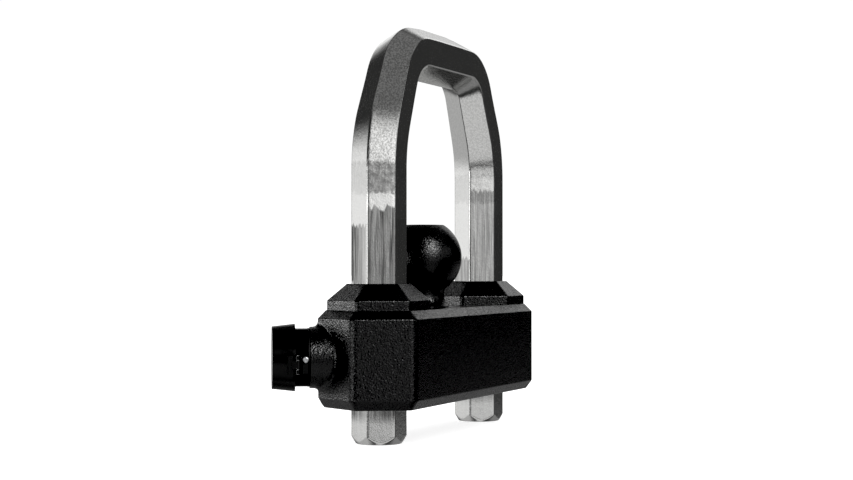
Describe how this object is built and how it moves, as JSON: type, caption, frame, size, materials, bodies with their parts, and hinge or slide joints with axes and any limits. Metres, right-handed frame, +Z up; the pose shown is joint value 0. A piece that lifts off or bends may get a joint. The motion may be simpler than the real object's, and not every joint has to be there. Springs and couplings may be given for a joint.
{
  "type": "trailer coupler lock",
  "caption": "Coupler lock: a bent hexagonal steel bar slides through a black body with a dummy ball, locked by a key cylinder under a hinged cap.",
  "frame": {"origin": "on the underside of the body, midway between the two leg holes; the feet of the shackle reach 21.2 mm below it", "axes": "+Z up along the legs of the shackle, +X from the locked leg to the plain leg, +Y towards the side that the lock leans to"},
  "size_m": [0.2423, 0.0955, 0.2506],
  "materials": {
    "stainless": "brushed lengthwise",
    "powder_coat": "black powder coat with a fine grain",
    "ball_coat": "black powder coat with a fine grain",
    "black_barrel": "satin black",
    "black_bracket": "satin black",
    "cap_plastic": "satin black moulding",
    "acetal": "smooth",
    "rubber": "matt",
    "zinc_steel": "bright zinc",
    "black_screw": "black oxide",
    "spring_steel": "plain",
    "hardened_steel": "ground",
    "brass": "machined",
    "chromed_brass": "chrome-plated"
  },
  "bodies": {
    "body": {"lock_body": "powder_coat", "ball_stud": "ball_coat", "ball_nut": "zinc_steel", "ball_lock_washer": "zinc_steel", "nut_cover": "powder_coat", "leg_guides": "acetal", "lock_barrel": "black_barrel", "boss_o_ring": "rubber", "nose_o_ring": "rubber", "cylinder_housing": "brass", "barrel_set_screw": "black_screw", "cap_hinge_pin": "spring_steel", "hinge_bracket": "black_bracket", "bracket_screw": "zinc_steel", "core_pin": "spring_steel"},
    "shackle": {"shackle": "stainless"},
    "plug": {"lock_plug": "chromed_brass", "plug_clip": "spring_steel", "detainer_discs": "brass", "disc_spacers": "spring_steel", "sidebar": "spring_steel", "guard_plate": "spring_steel"},
    "bolt": {"locking_bolt": "hardened_steel", "follower_pin": "hardened_steel"},
    "cap": {"dust_cap": "cap_plastic", "cap_gasket": "rubber"}
  },
  "joints": [
    {"name": "shackle_slide", "type": "slide", "parent": "body", "child": "shackle", "axis": [0, 0, 1], "range_m": [-0.0381, 0.1]},
    {"name": "cap_hinge", "type": "hinge", "parent": "body", "child": "cap", "pos_m": [-0.12057, 0.03194, 0.0261], "axis": [0, 0, 1], "range_deg": [0, 105]},
    {"name": "plug_turn", "type": "hinge", "parent": "body", "child": "plug", "pos_m": [-0.102, 0.03897, 0.0293], "axis": [-0.5, 0.866, 0], "range_deg": [0, 90]},
    {"name": "bolt_slide", "type": "slide", "parent": "body", "child": "bolt", "axis": [0.5, -0.866, 0], "range_m": [0, 0.005]}
  ],
  "couplings": [
    {"joint": "bolt_slide", "follows": "plug_turn", "m_per_rad": 0.003183}
  ]
}
